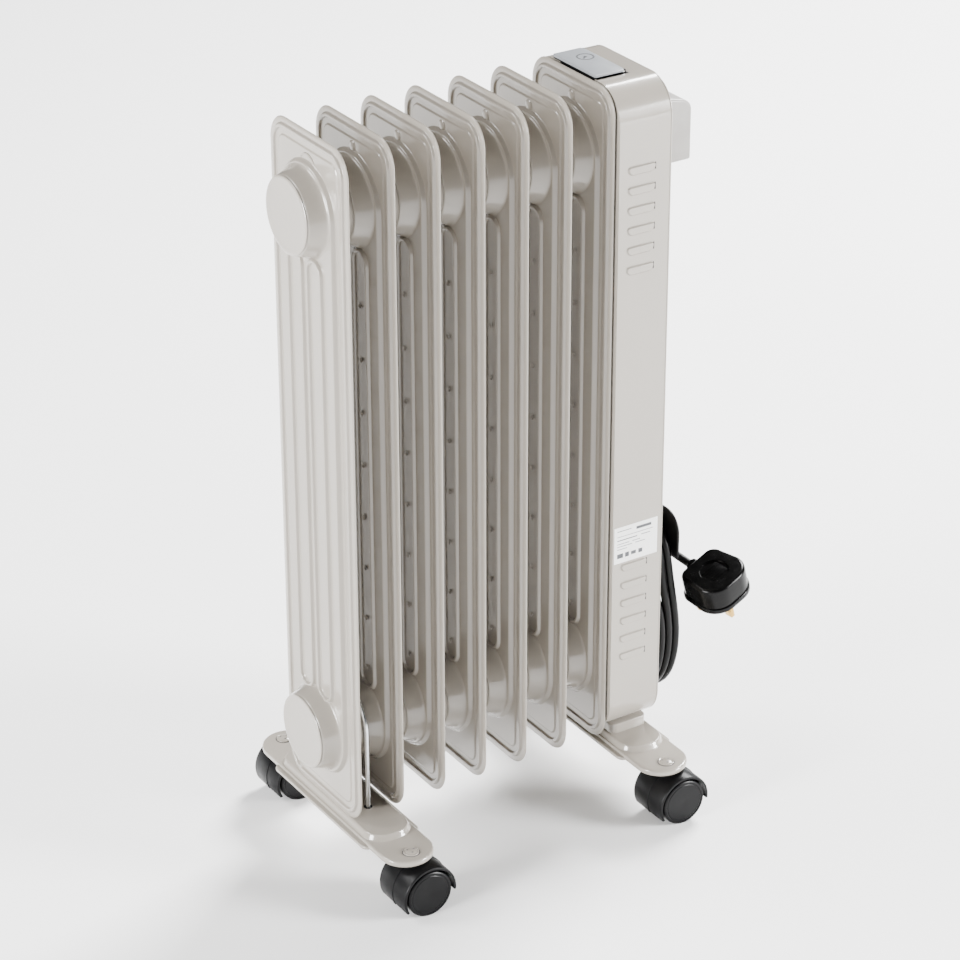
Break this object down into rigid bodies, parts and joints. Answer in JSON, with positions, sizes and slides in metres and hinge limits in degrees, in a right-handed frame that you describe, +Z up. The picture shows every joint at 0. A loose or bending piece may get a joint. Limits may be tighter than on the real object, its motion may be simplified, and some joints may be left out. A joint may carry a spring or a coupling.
{
  "type": "oil filled radiator heater",
  "caption": "Portable oil filled radiator with pressed steel fins, a vented control box, carrying handle, hinged top lid, cord hooks with the cord wound on, and twin-wheel castors.",
  "frame": {"origin": "middle of the floor area under the heater, on the floor plane", "axes": "+Z up, +X along the row of fins towards the control box, +Y to the left seen from the control box end looking back along the fins"},
  "size_m": [0.4027, 0.248, 0.6494],
  "materials": {
    "enamel": "gloss",
    "silver_plastic": "satin",
    "black_plastic": "satin",
    "cord_rubber": "matte",
    "red_plastic": "gloss",
    "zinc_steel": "satin",
    "brass": "satin",
    "copper_wire": "satin",
    "label_film": "satin"
  },
  "bodies": {
    "radiator": {"fin_1": "enamel", "fin_2": "enamel", "fin_3": "enamel", "fin_4": "enamel", "fin_5": "enamel", "fin_6": "enamel", "fin_7": "enamel", "upper_end_cap": "enamel", "lower_end_cap": "enamel", "filler_plug": "zinc_steel", "heating_element": "zinc_steel", "element_flange": "brass", "casing": "enamel", "back_plate": "zinc_steel", "front_panel": "enamel", "carry_handle": "silver_plastic", "lid_tray": "black_plastic", "lid_pin": "zinc_steel", "thermostat_body": "silver_plastic", "switch_housings": "black_plastic", "thermal_cutout": "zinc_steel", "terminal_block": "silver_plastic", "inner_wiring": "copper_wire", "strain_relief": "cord_rubber", "upper_cord_hook": "black_plastic", "lower_cord_hook": "black_plastic", "supply_cord_inlet": "cord_rubber", "cord_hank": "cord_rubber", "supply_cord_lead": "cord_rubber", "plug_body": "black_plastic", "plug_pins": "brass", "plug_fuse_cover": "black_plastic", "rating_label": "label_film", "front_foot": "enamel", "rear_foot": "enamel", "front_clamp": "zinc_steel", "rear_clamp": "zinc_steel", "clamp_nuts": "zinc_steel", "castor_stems": "zinc_steel"},
    "thermostat": {"thermostat_shaft": "zinc_steel", "thermostat_knob": "silver_plastic"},
    "low_heat_switch": {"low_heat_rocker": "red_plastic"},
    "high_heat_switch": {"high_heat_rocker": "red_plastic"},
    "lid": {"top_lid": "silver_plastic"},
    "castor_1": {"castor_1_hood": "black_plastic", "castor_1_axle": "zinc_steel"},
    "castor_1_wheel_a": {"castor_1_wheel_a": "black_plastic"},
    "castor_1_wheel_b": {"castor_1_wheel_b": "black_plastic"},
    "castor_2": {"castor_2_hood": "black_plastic", "castor_2_axle": "zinc_steel"},
    "castor_2_wheel_a": {"castor_2_wheel_a": "black_plastic"},
    "castor_2_wheel_b": {"castor_2_wheel_b": "black_plastic"},
    "castor_3": {"castor_3_hood": "black_plastic", "castor_3_axle": "zinc_steel"},
    "castor_3_wheel_a": {"castor_3_wheel_a": "black_plastic"},
    "castor_3_wheel_b": {"castor_3_wheel_b": "black_plastic"},
    "castor_4": {"castor_4_hood": "black_plastic", "castor_4_axle": "zinc_steel"},
    "castor_4_wheel_a": {"castor_4_wheel_a": "black_plastic"},
    "castor_4_wheel_b": {"castor_4_wheel_b": "black_plastic"}
  },
  "joints": [
    {"name": "castor_1_swivel", "type": "hinge", "parent": "radiator", "child": "castor_1", "pos_m": [-0.1351, -0.104, 0.047], "axis": [0, 0, 1], "continuous": true},
    {"name": "castor_1_roll_a", "type": "hinge", "parent": "castor_1", "child": "castor_1_wheel_a", "pos_m": [-0.1291, -0.116, 0.0205], "axis": [0, 1, 0], "continuous": true},
    {"name": "castor_1_roll_b", "type": "hinge", "parent": "castor_1", "child": "castor_1_wheel_b", "pos_m": [-0.1291, -0.092, 0.0205], "axis": [0, 1, 0], "continuous": true},
    {"name": "castor_2_swivel", "type": "hinge", "parent": "radiator", "child": "castor_2", "pos_m": [-0.1351, 0.104, 0.047], "axis": [0, 0, 1], "continuous": true},
    {"name": "castor_2_roll_a", "type": "hinge", "parent": "castor_2", "child": "castor_2_wheel_a", "pos_m": [-0.1291, 0.092, 0.0205], "axis": [0, 1, 0], "continuous": true},
    {"name": "castor_2_roll_b", "type": "hinge", "parent": "castor_2", "child": "castor_2_wheel_b", "pos_m": [-0.1291, 0.116, 0.0205], "axis": [0, 1, 0], "continuous": true},
    {"name": "castor_3_swivel", "type": "hinge", "parent": "radiator", "child": "castor_3", "pos_m": [0.1179, -0.104, 0.047], "axis": [0, 0, 1], "continuous": true},
    {"name": "castor_3_roll_a", "type": "hinge", "parent": "castor_3", "child": "castor_3_wheel_a", "pos_m": [0.1239, -0.116, 0.0205], "axis": [0, 1, 0], "continuous": true},
    {"name": "castor_3_roll_b", "type": "hinge", "parent": "castor_3", "child": "castor_3_wheel_b", "pos_m": [0.1239, -0.092, 0.0205], "axis": [0, 1, 0], "continuous": true},
    {"name": "castor_4_swivel", "type": "hinge", "parent": "radiator", "child": "castor_4", "pos_m": [0.1179, 0.104, 0.047], "axis": [0, 0, 1], "continuous": true},
    {"name": "castor_4_roll_a", "type": "hinge", "parent": "castor_4", "child": "castor_4_wheel_a", "pos_m": [0.1239, 0.092, 0.0205], "axis": [0, 1, 0], "continuous": true},
    {"name": "castor_4_roll_b", "type": "hinge", "parent": "castor_4", "child": "castor_4_wheel_b", "pos_m": [0.1239, 0.116, 0.0205], "axis": [0, 1, 0], "continuous": true},
    {"name": "thermostat_turn", "type": "hinge", "parent": "radiator", "child": "thermostat", "pos_m": [0.1388, 0, 0.515], "axis": [-1, 0, 0], "range_deg": [0, 300]},
    {"name": "low_heat_tip", "type": "hinge", "parent": "radiator", "child": "low_heat_switch", "pos_m": [0.1366, -0.013, 0.455], "axis": [0, -1, 0], "range_deg": [0, 18]},
    {"name": "high_heat_tip", "type": "hinge", "parent": "radiator", "child": "high_heat_switch", "pos_m": [0.1366, 0.013, 0.455], "axis": [0, -1, 0], "range_deg": [0, 18]},
    {"name": "lid_open", "type": "hinge", "parent": "radiator", "child": "lid", "pos_m": [0.1158, 0.003, 0.6474], "axis": [0, 1, 0], "range_deg": [0, 100]}
  ]
}
